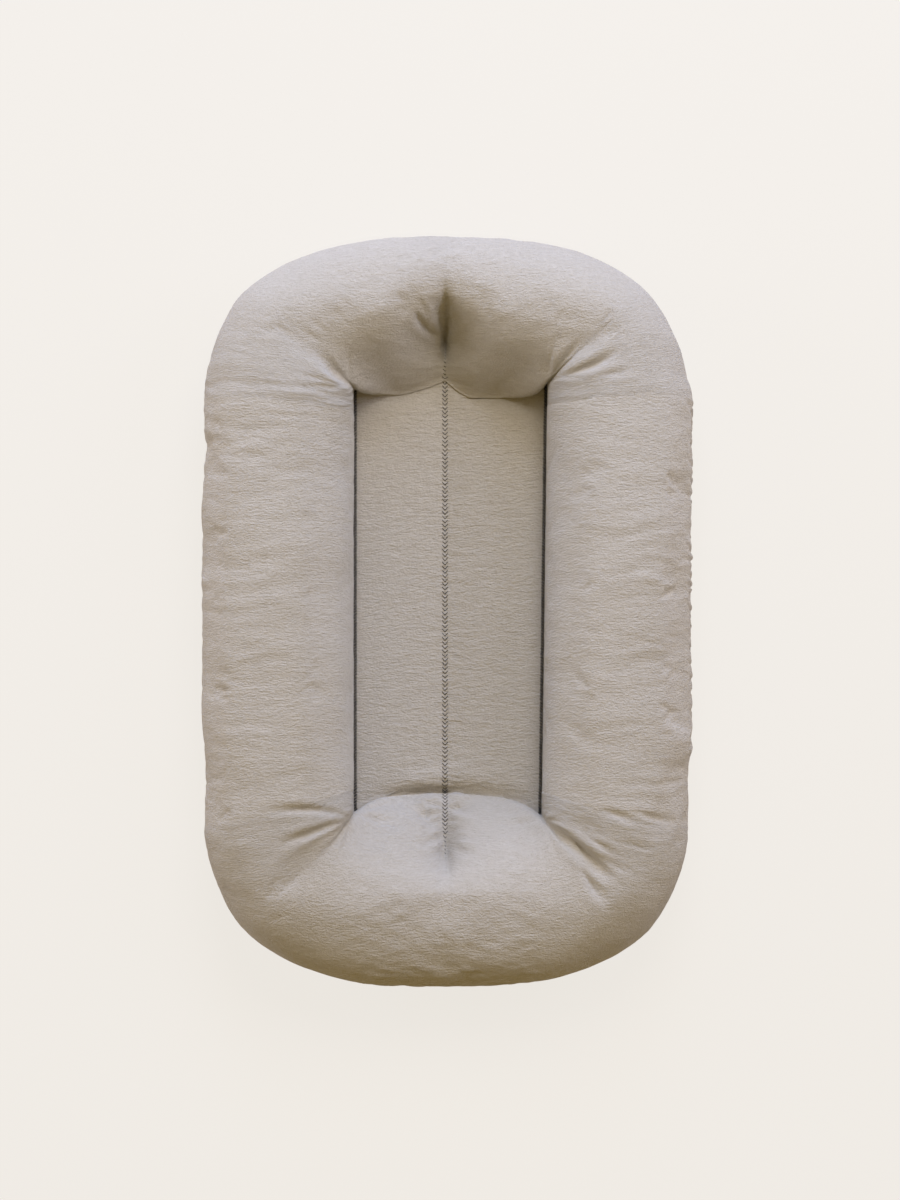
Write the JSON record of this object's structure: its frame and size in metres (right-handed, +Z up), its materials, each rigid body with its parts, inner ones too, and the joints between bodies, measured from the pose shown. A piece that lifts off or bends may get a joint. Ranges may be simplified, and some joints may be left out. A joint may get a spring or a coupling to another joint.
{
  "type": "infant lounger",
  "caption": "Oblong infant lounger: a thick fibre-filled rim round a shallow padded cloth well, with chevron-stitched seams and a zip tucked under the right-hand side.",
  "frame": {"origin": "centre of the lounger's footprint, on the surface it rests on", "axes": "+X to the right seen from above with the head end away, +Y towards the head end, +Z up"},
  "size_m": [0.488, 0.74, 0.118],
  "materials": {
    "shell_cloth": "plain greige crinkled cotton with a fine horizontal weave",
    "undyed_cloth": "undyed cotton lining and tape",
    "fibre": "white lofty fibre",
    "seam_thread": "charcoal spun thread in chevron stitches",
    "zip_tape": "woven tape dyed to match the cloth",
    "zip_nylon": "nylon coil dyed to match the cloth",
    "zip_metal": "painted die-cast metal"
  },
  "bodies": {
    "lounger": {"top_panel": "shell_cloth", "base_panel": "shell_cloth", "perimeter_seam_tape": "undyed_cloth", "left_floor_wadding": "fibre", "right_floor_wadding": "fibre", "left_well_stitching": "seam_thread", "right_well_stitching": "seam_thread", "centre_well_stitching": "seam_thread", "left_under_stitching": "seam_thread", "right_under_stitching": "seam_thread", "centre_under_stitching": "seam_thread", "bolster_lining_upper": "undyed_cloth", "bolster_lining_lower": "undyed_cloth", "bolster_filling": "fibre", "zip_tape_upper": "zip_tape", "zip_tape_lower": "zip_tape", "zip_teeth_upper": "zip_nylon", "zip_teeth_lower": "zip_nylon", "zip_top_stop_upper": "zip_metal", "zip_top_stop_lower": "zip_metal", "zip_bottom_stop": "zip_metal"},
    "slider": {"zip_slider": "zip_metal"},
    "pull_tab": {"zip_pull_tab": "zip_metal"}
  },
  "joints": [
    {"name": "zip_slide", "type": "slide", "parent": "lounger", "child": "slider", "axis": [0, -1, 0], "range_m": [0, 0.298]},
    {"name": "pull_tab_swing", "type": "hinge", "parent": "slider", "child": "pull_tab", "pos_m": [0.2404, 0.1986, 0.038], "axis": [0, 0, 1], "range_deg": [0, 165]}
  ]
}
